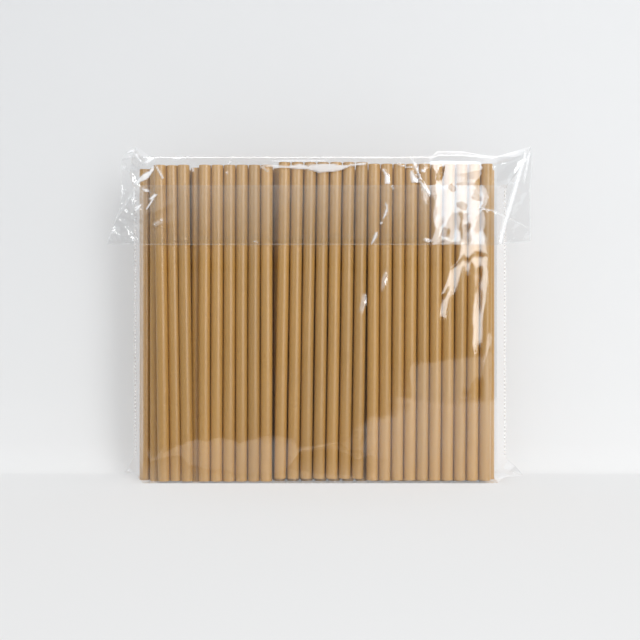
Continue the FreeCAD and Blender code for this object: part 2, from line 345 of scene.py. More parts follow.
def smooth_rails(stations, positions):
    """Rails interpolated with a monotone cubic, so that no station overshoots."""
    keys = np.array([place for place, _ in stations])
    rails = np.array([line for _, line in stations]).reshape(len(keys), -1)
    steps = np.diff(keys)[:, None]
    slopes = np.diff(rails, axis=0) / steps
    turning = slopes[1:] * slopes[:-1] > 0
    weight = 2 * slopes[1:] * slopes[:-1] / np.where(turning, slopes[1:] + slopes[:-1], 1)
    tangents = np.concatenate([slopes[:1], np.where(turning, weight, 0), slopes[-1:]])
    span = np.clip(np.searchsorted(keys, positions, "right") - 1, 0, len(keys) - 2)
    share = ((positions - keys[span]) / (keys[span + 1] - keys[span]))[:, None]
    width = (keys[span + 1] - keys[span])[:, None]
    rise = share * share * (3 - 2 * share)
    line = rails[span] * (1 - rise) + rails[span + 1] * rise
    line += width * tangents[span] * share * (1 - share) ** 2
    line -= width * tangents[span + 1] * share**2 * (1 - share)
    return line.reshape(len(positions), 4, 3)


def across(rails):
    """Fills the sheet between the four rails with evenly spaced columns."""
    side = np.linspace(0, 1, SIDE_COLUMNS, endpoint=False)[None, :, None]
    panel = np.linspace(0, 1, PANEL_COLUMNS, endpoint=False)[None, :, None]
    last = np.linspace(0, 1, SIDE_COLUMNS + 1)[None, :, None]
    a, b, c, d = (rails[:, number, None, :] for number in range(4))
    return np.concatenate([a + (b - a) * side, b + (c - b) * panel, c + (d - c) * last], axis=1)


def ear_edge(side, share):
    """A point on the free edge of the ear at the foot, from its root, 0, to its tip, 1."""
    sign, reach, lift = (-1, 5.6 * MM, 4.5 * MM) if side == "left" else (1, 10.8 * MM, 2.5 * MM)
    root = np.array((sign * WELD, 0.0, EAR))
    tip = np.array((sign * (WELD + reach), 0.0, lift))
    return root + (tip - root) * share


def dimples(u, v, cell, seed, stretch=1.0, turn=0.0):
    """Shallow hollows that meet in sharp ridges, as in crumpled film, from 0 to about 1."""
    spots = np.random.default_rng(seed).uniform(0.1, 0.9, (SPOTS, SPOTS, 2))
    a = (u * math.cos(turn) + v * math.sin(turn)) / (cell * stretch)
    b = (-u * math.sin(turn) + v * math.cos(turn)) / cell
    nearest = np.full(u.shape, 9.0)
    for da in (-1, 0, 1):
        for db in (-1, 0, 1):
            ia = np.floor(a).astype(int) + da
            ib = np.floor(b).astype(int) + db
            spot = spots[ia % SPOTS, ib % SPOTS]
            gap = (ia + spot[..., 0] - a) ** 2 + (ib + spot[..., 1] - b) ** 2
            nearest = np.minimum(nearest, gap)
    return nearest


def waves(u, v, length, seed, count=6, upright=0.5):
    """Soft slack in the film: a few long waves, more across than along it."""
    chance = np.random.default_rng(seed)
    total = np.zeros(u.shape)
    for _ in range(count):
        turn = chance.normal(0, upright)
        step = length * chance.uniform(0.6, 1.6)
        phase = chance.uniform(0, 2 * math.pi)
        total += np.sin(2 * math.pi * (u * math.cos(turn) + v * math.sin(turn)) / step + phase)
    return total / count


def near(value, start, end):
    """0 before start, 1 after end, smooth between; the other way when end < start."""
    share = np.clip((value - start) / (end - start), 0, 1)
    return share * share * (3 - 2 * share)


def within(x, z, corners):
    """How deep a point lies inside a polygon, in metres, negative outside."""
    corners = np.array(corners) * MM
    gap = np.full(x.shape, 1.0)
    inside = np.zeros(x.shape, bool)
    for (ax, az), (bx, bz) in zip(corners, np.roll(corners, -1, axis=0)):
        run, rise = bx - ax, bz - az
        share = np.clip(((x - ax) * run + (z - az) * rise) / (run * run + rise * rise), 0, 1)
        gap = np.minimum(gap, np.hypot(x - ax - share * run, z - az - share * rise))
        crossed = (az > z) != (bz > z)
        inside ^= crossed & (x < ax + (z - az) * run / (rise or 1))
    return np.where(inside, gap, -gap)


def facets(x, z, groups):
    """Flat dents with straight edges. A group's tilt says how far they slope, right and up."""
    out = 0 * x
    for tilt, _, pieces in groups:
        for corners in pieces:
            plane = max(np.array(corners) @ np.array(tilt)) * MM - tilt[0] * x - tilt[1] * z
            out = out + np.clip(np.minimum(plane, DENT_SLOPE * within(x, z, corners)), 0, None)
    return out


def milk_and_glint(x, z, groups):
    """How white the film is along the sharp creases of these dents, from 0 to 1: partly the film's own
    whitening, partly painted glints where the creases would catch the light.
    """
    out = 0 * x
    for _, share, pieces in groups:
        for corners in pieces:
            out = np.maximum(out, share * np.clip(within(x, z, corners) / CREASE_EDGE + 0.3, 0, 1))
    return out


foot_fold = rail_line(
    BACK_CORNER, 0, FILM_FLOOR, ear_edge("left", 1), ear_edge("right", 1)
)
back_heel = rail_line(
    BACK_CORNER, PANEL_BACK, FILM_FLOOR, ear_edge("left", 0.55), ear_edge("right", 0.55)
)
front_heel = rail_line(
    FRONT_CORNER, PANEL_FRONT, FILM_FLOOR, ear_edge("left", 0.55), ear_edge("right", 0.55)
)
# lines across the sheet, each with its place along the sheet from the fold at the foot
short_side = [
    (0.0, foot_fold), (16 * MM, front_heel), (31 * MM, welded(FRONT_CORNER, PANEL_FRONT, EAR)),
    (120 * MM, welded(FRONT_CORNER, PANEL_FRONT, 104 * MM)),
    (MOUTH_PLACE, welded(FRONT_CORNER, PANEL_FRONT, MOUTH)),
]
long_side = [
    (0.0, foot_fold), (16 * MM, back_heel), (31 * MM, welded(BACK_CORNER, PANEL_BACK, EAR)),
    (120 * MM, welded(BACK_CORNER, PANEL_BACK, 104 * MM)),
    (MOUTH_PLACE, welded(BACK_CORNER, PANEL_BACK, MOUTH)),
    (212 * MM, rail_line(
        BACK_CORNER, PANEL_BACK, 196.8 * MM, mm(-123.5, 1.5, 197.6), mm(127.2, 1.5, 197.6),
    )),
    (220 * MM, rail_line(
        BACK_CORNER, PANEL_BACK - 0.6 * MM, 204.2 * MM, mm(-121.6, 1, 209.2), mm(135.1, 1, 209.2),
    )),
    (237 * MM, rail_line(
        BACK_CORNER, 0, TOP_FOLD + 0.8 * MM, mm(-119, -2, 215.2), mm(136.4, 0, 215.2),
    )),
    (249 * MM, rail_line(
        FRONT_CORNER, FLAP_FRONT + 3.5 * MM, 206.9 * MM, mm(-123, -6, 212), mm(136.4, -3, 211),
    )),
    (252 * MM, rail_line(
        FRONT_CORNER, FLAP_FRONT + 0.7 * MM, 206.3 * MM, mm(-125, -8, 208), mm(136.3, -5, 207),
    )),
    (255 * MM, rail_line(
        FRONT_CORNER, FLAP_FRONT, 203.6 * MM, mm(-126.3, -10, 204), mm(136.0, -6.5, 204),
    )),
    (274 * MM, rail_line(
        FRONT_CORNER, FLAP_FRONT, 182 * MM, mm(-126.3, -11, 182), mm(134.3, -8, 182),
    )),
    (296 * MM, rail_line(
        FRONT_CORNER, FLAP_FRONT, 160 * MM, mm(-131.4, -9.5, 165), mm(134.6, -8, 161),
    )),
    (306 * MM, rail_line(
        FRONT_CORNER, FLAP_FRONT, FLAP_EDGE, mm(-136.4, -8, 151.5), mm(134.6, -8, 153.5),
    )),
]


def row_places(stations, step, fine_from, fine_step):
    """Where the rows of the mesh lie along the sheet: coarse below, fine from a place on."""
    last = stations[-1][0]
    coarse = np.arange(0, min(fine_from, last), step)
    fine = np.linspace(min(fine_from, last), last, max(2, int((last - fine_from) / fine_step) + 1))
    return np.unique(np.concatenate([coarse, fine]))


# dents and creases: tilt to the right and up, whitening (on the creases partly painted glints), and the
# outlines in mm
PANEL_FACETS = (
    # two dents half way up the front panel, left of its bright patches
    ((0.080, 0.080), 0.25, (
        ((38.9, 128.7), (41.1, 133.9), (42.6, 132.9), (41.6, 125.6), (39.4, 121.8), (38.4, 123.0)),
        ((24.5, 108.5), (26.5, 107.0), (29.5, 114.0), (29.0, 120.5), (26.5, 118.0)),
    )),
)
FLAP_FACETS = (
    # leaf-shaped dents and thin creases between the middle and the right
    ((0.050, -0.010), 0.60, (
        ((38.9, 198.1), (40.1, 198.6), (43.2, 194.3), (44.4, 188.8), (40.9, 188.8), (40.9, 194.3)),
        ((56.8, 196.8), (58.0, 197.5), (60.8, 193.1), (62.5, 189.7), (57.5, 189.7)),
        ((63.8, 198.5), (66.1, 198.0), (65.6, 196.5), (63.6, 196.5)),
        ((41.1, 177.0), (42.6, 175.8), (42.9, 172.2), (41.4, 168.5), (38.9, 165.2), (40.4, 169.7),
         (41.6, 173.2)),
        ((37.9, 164.4), (39.6, 165.4), (39.4, 163.7), (38.1, 163.2)),
        ((32.2, 151.2), (34.8, 158.2), (36.6, 158.7), (35.8, 155.0), (32.8, 150.7)),
        ((44.7, 188.0), (45.7, 187.8), (46.9, 185.0), (45.9, 185.2)),
    )),
    ((0.060, 0.020), 0.50, (
        ((47.3, 202.3), (53.0, 200.3), (61.8, 199.0), (61.6, 198.2), (52.4, 199.5), (47.2, 201.5)),
        ((56.8, 206.6), (58.0, 206.1), (60.6, 200.0), (63.8, 191.7), (63.1, 191.2), (59.6, 198.7)),
        ((61.3, 192.7), (64.6, 189.7), (69.7, 181.6), (68.9, 180.8), (64.9, 186.1)),
        ((64.9, 154.3), (67.4, 153.9), (69.7, 152.6), (67.1, 151.8)),
        ((100.9, 174.0), (110.4, 172.0), (110.0, 171.0), (100.7, 173.2)),
    )),
    # the ragged white ripple under the top fold in the middle, and the specks around it
    ((0.010, 0.050), 0.62, (
        ((-37.9, 200.0), (-30.3, 200.6), (-20.2, 200.1), (-12.6, 201.4), (-5.0, 199.6), (-1.3, 196.1),
         (-7.6, 197.9), (-18.9, 198.6), (-30.3, 199.4)),
        ((-7.6, 200.9), (7.6, 201.6), (12.6, 200.6), (20.4, 200.9), (17.9, 199.4), (12.6, 197.1),
         (6.3, 196.3), (-1.3, 195.8), (-5.0, 198.4)),
        ((17.7, 201.3), (29.0, 202.4), (29.3, 201.0), (20.2, 200.0)),
        ((-30.3, 203.6), (-18.9, 203.9), (4.0, 203.9), (4.4, 203.0), (-18.9, 202.8), (-29.0, 202.6)),
        ((-59.3, 196.8), (-57.8, 195.8), (-58.3, 194.8), (-59.6, 195.8)),
        ((-58.3, 201.6), (-56.5, 203.4), (-55.3, 203.2), (-57.5, 201.1)),
        ((-80.8, 199.1), (-79.5, 198.6), (-79.5, 196.1), (-80.5, 196.8)),
        ((-42.9, 153.4), (-39.1, 152.2), (-38.9, 151.4), (-41.6, 152.4)),
        ((-37.4, 199.6), (-36.3, 199.9), (-32.3, 196.8), (-32.8, 196.3)),
    )),
    # dents that show as cracks in the bright patch at the right
    ((-0.05, 0.04), 0.0, (
        ((74.0, 192.0), (76.0, 191.5), (78.5, 199.0), (76.5, 199.5)),
        ((77.0, 157.0), (80.5, 156.0), (81.5, 160.0), (78.5, 161.5)),
        ((86.0, 176.0), (91.0, 172.5), (92.0, 175.0), (87.5, 178.5)),
        ((95.0, 181.0), (100.5, 178.5), (100.8, 180.0), (95.5, 183.0)),
        ((81.0, 186.5), (84.5, 184.0), (85.0, 186.0), (82.0, 189.0)),
    )),
)
CORNER_FACETS = (
    # left: the crumpled corner, over the straws and out on the wing
    ((-0.10, 0.10), 0.80, (
        ((-118.0, 188.4), (-114.8, 192.4), (-109.8, 196.0), (-106.0, 197.1), (-106.4, 194.7),
         (-108.9, 191.8), (-112.3, 190.2)),
        ((-104.1, 200.6), (-102.6, 200.0), (-98.3, 192.2), (-99.3, 191.8)),
        ((-107.6, 196.8), (-105.4, 200.3), (-104.6, 197.5), (-106.1, 195.6)),
        ((-118.4, 184.2), (-117.1, 184.5), (-117.0, 179.2), (-118.2, 178.8)),
        ((-117.2, 172.0), (-116.1, 175.0), (-112.4, 176.5), (-113.2, 174.3), (-115.7, 171.7)),
        ((-112.7, 186.1), (-108.9, 185.6), (-106.6, 183.3), (-110.4, 183.8)),
        ((-108.1, 179.1), (-104.1, 182.8), (-102.6, 181.8), (-105.9, 178.5)),
        ((-109.8, 172.9), (-105.4, 179.8), (-104.6, 179.1), (-108.9, 172.5)),
        ((-100.9, 167.2), (-99.6, 166.4), (-98.8, 165.2), (-100.3, 165.7)),
        ((-110.7, 202.3), (-108.5, 205.0), (-103.8, 205.8), (-106.0, 203.2), (-108.9, 201.3)),
        ((-92.1, 204.9), (-90.6, 206.4), (-88.8, 205.4), (-86.1, 206.2), (-85.6, 204.9), (-90.3, 204.2)),
    )),
    ((0.15, 0.08), 0.75, (
        ((-123.3, 210.1), (-118.7, 214.1), (-114.8, 210.3), (-118.0, 211.1), (-121.8, 209.6)),
        ((-118.5, 209.1), (-116.1, 208.6), (-111.7, 201.8), (-113.4, 202.5), (-116.2, 205.8)),
        ((-123.0, 206.6), (-121.3, 207.8), (-119.2, 205.8), (-121.8, 206.1)),
        ((-127.8, 200.5), (-126.2, 201.3), (-125.9, 198.0), (-127.2, 196.2)),
        ((-127.3, 195.0), (-125.9, 195.2), (-125.9, 191.2), (-127.3, 191.2)),
        ((-127.3, 188.6), (-126.0, 188.9), (-124.8, 182.3), (-126.3, 181.6), (-127.1, 184.9)),
        ((-125.8, 200.0), (-124.3, 201.0), (-123.0, 200.3), (-125.0, 198.7)),
        ((-136.3, 157.7), (-134.9, 158.6), (-134.6, 157.1), (-135.9, 156.6)),
        ((-132.9, 159.4), (-130.9, 161.4), (-131.1, 159.1), (-132.1, 158.1)),
    )),
    ((0.12, 0.06), 0.20, (
        ((-135.6, 160.9), (-132.5, 165.3), (-118.0, 186.8), (-114.8, 188.6), (-123.0, 174.8),
         (-130.0, 165.9), (-134.1, 159.6)),
        ((-105.4, 163.4), (-102.6, 165.7), (-98.8, 164.4), (-104.1, 161.6)),
    )),
    # right: the long slanted fold, its short neighbour, the crumpled tip and thin creases
    ((-0.23, 0.10), 0.60, (
        ((113.6, 151.0), (113.1, 154.6), (114.3, 159.0), (118.6, 173.2), (126.2, 197.5), (131.9, 212.6),
         (132.7, 208.8), (128.7, 197.5), (121.1, 172.2), (117.4, 162.1), (115.8, 154.6), (115.1, 152.1)),
        ((130.3, 189.7), (129.7, 190.5), (132.7, 207.6), (135.0, 212.0), (135.8, 211.4), (133.2, 202.5)),
        ((129.7, 214.4), (131.5, 215.1), (135.3, 215.9), (136.5, 214.4), (135.3, 212.6), (131.2, 212.1)),
    )),
    ((0.02, 0.02), 0.30, (
        ((110.4, 172.0), (118.6, 168.2), (133.8, 161.9), (133.5, 161.3), (118.0, 167.4), (110.0, 171.0)),
        ((120.5, 189.9), (126.2, 191.4), (126.7, 190.4), (121.1, 189.1)),
    )),
)


def straws_felt(x):
    """The film rests on the straws' crowns and hollows a little between them."""
    return STRAW_MARK * np.cos(2 * math.pi * x / STRAW_STEP)


def front_slack(x, z):
    """How far the front panel stands out from the straws, in metres."""
    out = 0.10 * MM * (1.2 + waves(x, z, 90 * MM, seed=11, upright=0.35))
    out += straws_felt(x)
    foot = near(z, 46 * MM, 12 * MM)
    out += 0.5 * MM * foot * dimples(x, z, 21 * MM, seed=3, stretch=1.6, turn=0.5)
    out += 0.12 * MM * foot * dimples(x, z, 8 * MM, seed=4, stretch=1.8, turn=1.0)
    out += 0.06 * MM * (1 - foot) * dimples(x, z, 24 * MM, seed=5, stretch=2.0, turn=1.3)
    out += 0.014 * MM * (1 - foot) * dimples(x, z, 7 * MM, seed=6, stretch=1.8, turn=1.4)
    out += 0.13 * MM * near(z, 148 * MM, 158 * MM) * dimples(x, z, 13 * MM, seed=7, stretch=1.6, turn=0.9)
    return out + facets(x, z, PANEL_FACETS)


def flap_slack(x, z):
    """The same for the flap, which hangs free above its strip of glue."""
    out = 0.10 * MM * (1.2 + waves(x, z, 55 * MM, seed=12, upright=0.5))
    out += straws_felt(x)
    free = near(z, FLAP_EDGE + 4 * MM, FLAP_EDGE + 16 * MM)
    crown = near(z, 190 * MM, 203 * MM)
    left = near(x, -88 * MM, -100 * MM) * near(z, 158 * MM, 168 * MM)
    out += free * 0.040 * MM * dimples(x, z, 12 * MM, seed=8, stretch=1.5, turn=1.2)
    out += 0.020 * MM * dimples(x, z, 6 * MM, seed=9, stretch=1.8, turn=0.6)
    out += 0.25 * MM * crown * dimples(x, z, 11 * MM, seed=10, stretch=2.2, turn=0.1)
    out += 0.5 * MM * left * dimples(x, z, 7 * MM, seed=13, stretch=2.4, turn=0.8)
    return out + facets(x, z, FLAP_FACETS)


def wing_crumple(x, z, side):
    """The crumple of a wing, coarse and fine together, deeper on the left."""
    size, seed = (1.5 * MM, 21) if side < 0 else (0.5 * MM, 22)
    rough = dimples(x, z, 7 * MM, seed, stretch=3.2, turn=0.9 * side) - CRUMPLE_MIDDLE
    fine = dimples(x, z, 3 * MM, seed + 4, stretch=2.4, turn=0.5 * side) - CRUMPLE_MIDDLE
    return size * rough + FINE_CRUMPLE * size * fine


def crown_rise(x):
    """The top fold's own ups and downs, with a taller bulge towards the right corner."""
    bulge = near(x, 70 * MM, 76 * MM) * near(x, 112 * MM, 88 * MM)
    return CROWN_WAVE * waves(x, 0 * x, 40 * MM, seed=31, upright=0.1) + CROWN_BULGE * bulge


def film_rows(stations, step, fine_step):
    """The rows of one side of the sheet, which are fine from the mouth on."""
    places = row_places(stations, step, MOUTH_PLACE, fine_step)
    return places, across(smooth_rails(stations, places))


def pouch_film():
    """Points and whitening of the back panel with its flap, and of the front panel; the whitening is
    partly painted glints, highlights and sheen.
    """
    back_places, back = film_rows(long_side, 4.5 * MM, 0.72 * MM)
    front_places, front = film_rows(short_side, 2.2 * MM, 2 * MM)
    # front panel: outwards is -y, fading out at the welds and at the floor
    inner = np.abs(front[..., 0])
    held = near(inner, WELD - 2 * MM, FRONT_CORNER - 6 * MM) * near(front[..., 2], 0.2 * MM, 5 * MM)
    front[..., 1] -= held * front_slack(front[..., 0], front[..., 2])
    # flap: over the front panel, loose above the glue
    on_flap = near(back_places, 250 * MM, 256 * MM)[:, None]
    panel = near(np.abs(back[..., 0]), FRONT_CORNER + 6 * MM, FRONT_CORNER - 4 * MM)
    back[..., 1] -= on_flap * panel * flap_slack(back[..., 0], back[..., 2])
    # back panel: the same slack as in front, from another place of the pattern
    on_back = near(back_places, 20 * MM, 32 * MM) * near(back_places, 222 * MM, 210 * MM)
    back[..., 1] += on_back[:, None] * panel * front_slack(back[..., 0] + BACK_SHIFT, back[..., 2])
    # the fold over the top
    fold = near(back_places, 216 * MM, 234 * MM) * near(back_places, 258 * MM, 240 * MM)
    back[..., 2] += fold[:, None] * panel * crown_rise(back[..., 0])
    # wings: the layer behind takes its crumple from another place of the pattern
    for side in (-1, 1):
        out = near(side * back[..., 0], FRONT_CORNER - 2 * MM, FRONT_CORNER + 8 * MM)
        out = out * near(back_places, 205 * MM, 214 * MM)[:, None]
        behind = (back[..., 1] > -1 * MM) * BEHIND_SHIFT
        back[..., 1] += out * wing_crumple(back[..., 0], back[..., 2] + behind, side)
    before = near(back_places, 244 * MM, 249 * MM)[:, None]
    back[..., 1] -= before * facets(back[..., 0], back[..., 2], CORNER_FACETS)
    # creases, free edges and welds are made white, and so is the panel's left corner: on the creases this
    # is partly painted glints, on the free edges partly painted highlights, on the corner a painted sheen
    back_milk_and_glint = before * milk_and_glint(back[..., 0], back[..., 2], FLAP_FACETS + CORNER_FACETS)
    front_milk_and_glint = milk_and_glint(front[..., 0], front[..., 2], PANEL_FACETS)
    # painted sheen: a pale band down the front panel's left corner, where the film turns to the side,
    # fading out towards the foot
    corner = 1 - np.abs(front[..., 0] + 112.5 * MM) / (2.4 * MM)
    corner_sheen = CORNER_SHEEN * np.clip(corner, 0, 1) * near(front[..., 2], 0, 30 * MM)
    front_milk_and_glint = np.maximum(front_milk_and_glint, corner_sheen)
    # the free edges are made white partly as cut film and partly as painted highlights, where a curled
    # edge would catch the light
    back_milk_and_glint[-1] = FLAP_EDGE_MILK_AND_SHINE
    front_milk_and_glint[-1] = MOUTH_MILK_AND_SHINE
    for grid_milk_and_glint, places in ((back_milk_and_glint, back_places), (front_milk_and_glint, front_places)):
        edge = np.where(places > MOUTH_PLACE, WING_EDGE_MILK_AND_SHINE, WELD_MILK)
        grid_milk_and_glint[:, 0] = grid_milk_and_glint[:, -1] = edge
    return (back, back_milk_and_glint), (front, front_milk_and_glint)


def film_mesh(name, back, front):
    """Both sides of the sheet in one mesh, welded along the fold and both seams."""
    shell = bmesh.new()
    milk_and_glint_layer = shell.verts.layers.float.new("milk_and_glint")
    for (grid, grid_milk_and_glint), outwards in ((back, False), (front, True)):
        verts = [[shell.verts.new(point) for point in row] for row in grid]
        for row, shares in zip(verts, grid_milk_and_glint):
            for corner, share in zip(row, shares):
                corner[milk_and_glint_layer] = share
        for lower, upper in zip(verts, verts[1:]):
            for a, b, c, d in zip(lower, lower[1:], upper[1:], upper):
                shell.faces.new((a, b, c, d) if outwards else (d, c, b, a))
            for column in (SIDE_COLUMNS, SIDE_COLUMNS + PANEL_COLUMNS):
                shell.edges.get((lower[column], upper[column])).smooth = False
    bmesh.ops.remove_doubles(shell, verts=shell.verts, dist=0.002 * MM)
    mesh = bpy.data.meshes.new(name)
    shell.to_mesh(mesh)
    shell.free()
    return mesh


def clear_film():
    """Thin clear film: it mirrors more at a slant, and is milky where creased or scuffed; at the creases,
    the free edges and the left corner the milky white is partly painted glints and sheen.
    """
    material, tree = shader_tree("clear_film")
    place = add(tree, "ShaderNodeTexCoord").outputs["Object"]
    ripple = add(tree, "ShaderNodeTexNoise", {
        "Vector": place, "Scale": 260.0, "Detail": 4.0, "Roughness": 0.55,
    }).outputs["Fac"]
    scuff = add(tree, "ShaderNodeTexNoise", {
        "Vector": place, "Scale": 60.0, "Detail": 6.0, "Roughness": 0.7,
    }).outputs["Fac"]
    bump = add(tree, "ShaderNodeBump", {
        "Height": ripple, "Strength": 0.2, "Distance": 0.02 * MM,
    }).outputs[0]
    facing = add(tree, "ShaderNodeLayerWeight", {"Blend": 0.5, "Normal": bump}).outputs["Facing"]
    edge = add(tree, "ShaderNodeMath", {0: facing, 1: 5.0}, operation="POWER").outputs[0]
    mirror = add(tree, "ShaderNodeMapRange", {
        "Value": edge, "From Min": 0.0, "From Max": 1.0, "To Min": 0.085, "To Max": 0.9,
    }).outputs[0]
    haze_and_glint = add(tree, "ShaderNodeMapRange", {
        "Value": scuff, "From Min": 0.35, "From Max": 0.75, "To Min": 0.0, "To Max": 0.008,
    }).outputs[0]
    # the white read from the mesh is partly the film's own whitening and partly painted glints, highlights
    # and sheen
    milk_and_glint_share = add(tree, "ShaderNodeAttribute", attribute_name="milk_and_glint").outputs["Fac"]
    haze_and_glint = add(tree, "ShaderNodeMath", {0: milk_and_glint_share, 1: haze_and_glint}, operation="ADD").outputs[0]
    clear = add(tree, "ShaderNodeBsdfTransparent", {"Color": (0.984, 0.986, 0.988, 1)}).outputs[0]
    milky = add(tree, "ShaderNodeBsdfDiffuse", {"Color": (0.95, 0.96, 0.97, 1), "Normal": bump}).outputs[0]
    body = add(tree, "ShaderNodeMixShader", {0: haze_and_glint, 1: clear, 2: milky}).outputs[0]
    shine = add(tree, "ShaderNodeBsdfGlossy", {
        "Color": (0.98, 0.985, 1.0, 1), "Roughness": 0.03, "Normal": bump,
    }).outputs[0]
    whole = add(tree, "ShaderNodeMixShader", {0: mirror, 1: body, 2: shine}).outputs[0]
    add(tree, "ShaderNodeOutputMaterial", {"Surface": whole})
    return material


pouch_mesh = film_mesh("pouch", *pouch_film())
pouch_mesh.materials.append(clear_film())
pouch_mesh.shade_smooth()
pouch = bpy.data.objects.new("pouch", pouch_mesh)
bpy.context.collection.objects.link(pouch)
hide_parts("bag_film")
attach(pouch, BODY)

# Weld beads
# The hot bar that welds the pouch's sides leaves a chain of small pressed beads in the
# film, from the ears at the foot up to the mouth.

BEAD_INSET = 1.1 * MM
BEAD_STEP = 2.5 * MM
BEAD_SIZE = (0.55 * MM, 0.30 * MM, 0.85 * MM)


def bead_tree():
    """A small rounded bead, turned a little by chance, on every point."""
    tree = new_tree("weld beads", (
        ("Size", "NodeSocketVector"), ("Material", "NodeSocketMaterial"),
    ))
    given = add(tree, "NodeGroupInput").outputs
    bead = add(tree, "GeometryNodeMeshIcoSphere", {"Radius": 1.0, "Subdivisions": 2}).outputs["Mesh"]
    wobble = add(tree, "FunctionNodeRandomValue", {
        "Min": (-0.5, -0.5, -0.5), "Max": (0.5, 0.5, 0.5), "Seed": 5,
    }, data_type="FLOAT_VECTOR").outputs["Value"]
    rotation = add(tree, "FunctionNodeEulerToRotation", {"Euler": wobble}).outputs[0]
    placed = add(tree, "GeometryNodeInstanceOnPoints", {
        "Points": given["Geometry"], "Instance": bead, "Rotation": rotation, "Scale": given["Size"],
    }).outputs[0]
    real = add(tree, "GeometryNodeRealizeInstances", {"Geometry": placed}).outputs[0]
    smooth = add(tree, "GeometryNodeSetShadeSmooth", {"Geometry": real}).outputs[0]
    dressed = add(tree, "GeometryNodeSetMaterial", {
        "Geometry": smooth, "Material": given["Material"],
    }).outputs[0]
    add(tree, "NodeGroupOutput", {"Geometry": dressed})
    return tree


def bead_film():
    """The pressed film of the beads: clear, a little milky and glossy."""
    material, tree = shader_tree("weld_beads")
    clear = add(tree, "ShaderNodeBsdfTransparent", {"Color": (0.97, 0.972, 0.975, 1)}).outputs[0]
    milky = add(tree, "ShaderNodeBsdfDiffuse", {"Color": (0.96, 0.965, 0.97, 1)}).outputs[0]
    body = add(tree, "ShaderNodeMixShader", {0: 0.22, 1: clear, 2: milky}).outputs[0]
    shine = add(tree, "ShaderNodeBsdfGlossy", {"Roughness": 0.12}).outputs[0]
    whole = add(tree, "ShaderNodeMixShader", {0: 0.16, 1: body, 2: shine}).outputs[0]
    add(tree, "ShaderNodeOutputMaterial", {"Surface": whole})
    return material


bead_heights = np.arange(EAR + 1 * MM, MOUTH, BEAD_STEP)
bead_points = bpy.data.meshes.new("weld_beads")
bead_points.from_pydata(
    [(side * (WELD - BEAD_INSET), 0, z) for side in (-1, 1) for z in bead_heights], [], [],
)
beads = bpy.data.objects.new("weld_beads", bead_points)
bpy.context.collection.objects.link(beads)
with_tree(beads, bead_tree(), Size=BEAD_SIZE, Material=bead_film())
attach(beads, BODY)

# Adhesive
# The strip of clear glue that holds the flap down on the front panel: one thin sheet of
# it, a little milky, with two pale lines across it, slightly askew.

LINE_HEIGHTS = (156.2 * MM, 155.0 * MM)
LINE_SLOPE = 0.0116
LINE_WIDTH = 0.28 * MM
LINE_MILK = 0.14


def glue():
    """Clear glue with faint blotches and the two pale lines."""
    material, tree = shader_tree("flap_glue")
    place = add(tree, "ShaderNodeTexCoord").outputs["Object"]
    where = add(tree, "ShaderNodeSeparateXYZ", {0: place}).outputs
    sunk = add(tree, "ShaderNodeMath", {0: where["X"], 1: -LINE_SLOPE}, operation="MULTIPLY").outputs[0]
    height = add(tree, "ShaderNodeMath", {0: where["Z"], 1: sunk}, operation="ADD").outputs[0]
    blotch = add(tree, "ShaderNodeTexNoise", {
        "Vector": place, "Scale": 130.0, "Detail": 4.0, "Roughness": 0.6,
    }).outputs["Fac"]
    body = add(tree, "ShaderNodeMapRange", {
        "Value": blotch, "From Min": 0.35, "From Max": 0.7, "To Min": 0.0, "To Max": 0.006,
    }).outputs[0]
    for level in LINE_HEIGHTS:
        off = add(tree, "ShaderNodeMath", {0: height, 1: level}, operation="SUBTRACT").outputs[0]
        off = add(tree, "ShaderNodeMath", {0: off}, operation="ABSOLUTE").outputs[0]
        line = add(tree, "ShaderNodeMapRange", {
            "Value": off, "From Min": 0.0, "From Max": LINE_WIDTH, "To Min": LINE_MILK, "To Max": 0.0,
        }).outputs[0]
        line = add(tree, "ShaderNodeMath", {0: line, 1: blotch}, operation="MULTIPLY").outputs[0]
        body = add(tree, "ShaderNodeMath", {0: body, 1: line}, operation="ADD").outputs[0]
    clear = add(tree, "ShaderNodeBsdfTransparent", {"Color": (0.996, 0.996, 0.996, 1)}).outputs[0]
    milky = add(tree, "ShaderNodeBsdfDiffuse", {"Color": (0.92, 0.91, 0.88, 1)}).outputs[0]
    whole = add(tree, "ShaderNodeMixShader", {0: body, 1: clear, 2: milky}).outputs[0]
    add(tree, "ShaderNodeOutputMaterial", {"Surface": whole})
    return material


glue_low, glue_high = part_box("adhesive_strip")
glue_y = (glue_low.y + glue_high.y) / 2
strip_mesh = bpy.data.meshes.new("flap_glue")
strip_mesh.from_pydata([
    (glue_low.x, glue_y, glue_low.z), (glue_high.x, glue_y, glue_low.z),
    (glue_high.x, glue_y, glue_high.z), (glue_low.x, glue_y, glue_high.z),
], [], [(0, 1, 2, 3)])
strip_mesh.materials.append(glue())
strip = bpy.data.objects.new("flap_glue", strip_mesh)
bpy.context.collection.objects.link(strip)
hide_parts("adhesive_strip")
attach(strip, BODY)

# Stage
# A pale matt sheet that lies flat under the pack and sweeps up close behind it. For the
# film it is painted: bright in ragged patches near the pack, brighter on the right, and dark further off.

SHEET_TONE = (0.80, 0.80, 0.80)
SEEN_SHARE = 0.42
SWEEP_Y = 40 * MM
SWEEP_DEPTH = 22 * MM
SWEEP_RISE = 60 * MM
SWEEP_STEPS = 24
UPRIGHT_FROM = 30 * MM
SHEET_HALF = 2.5
SHEET_HEIGHT = 1.3


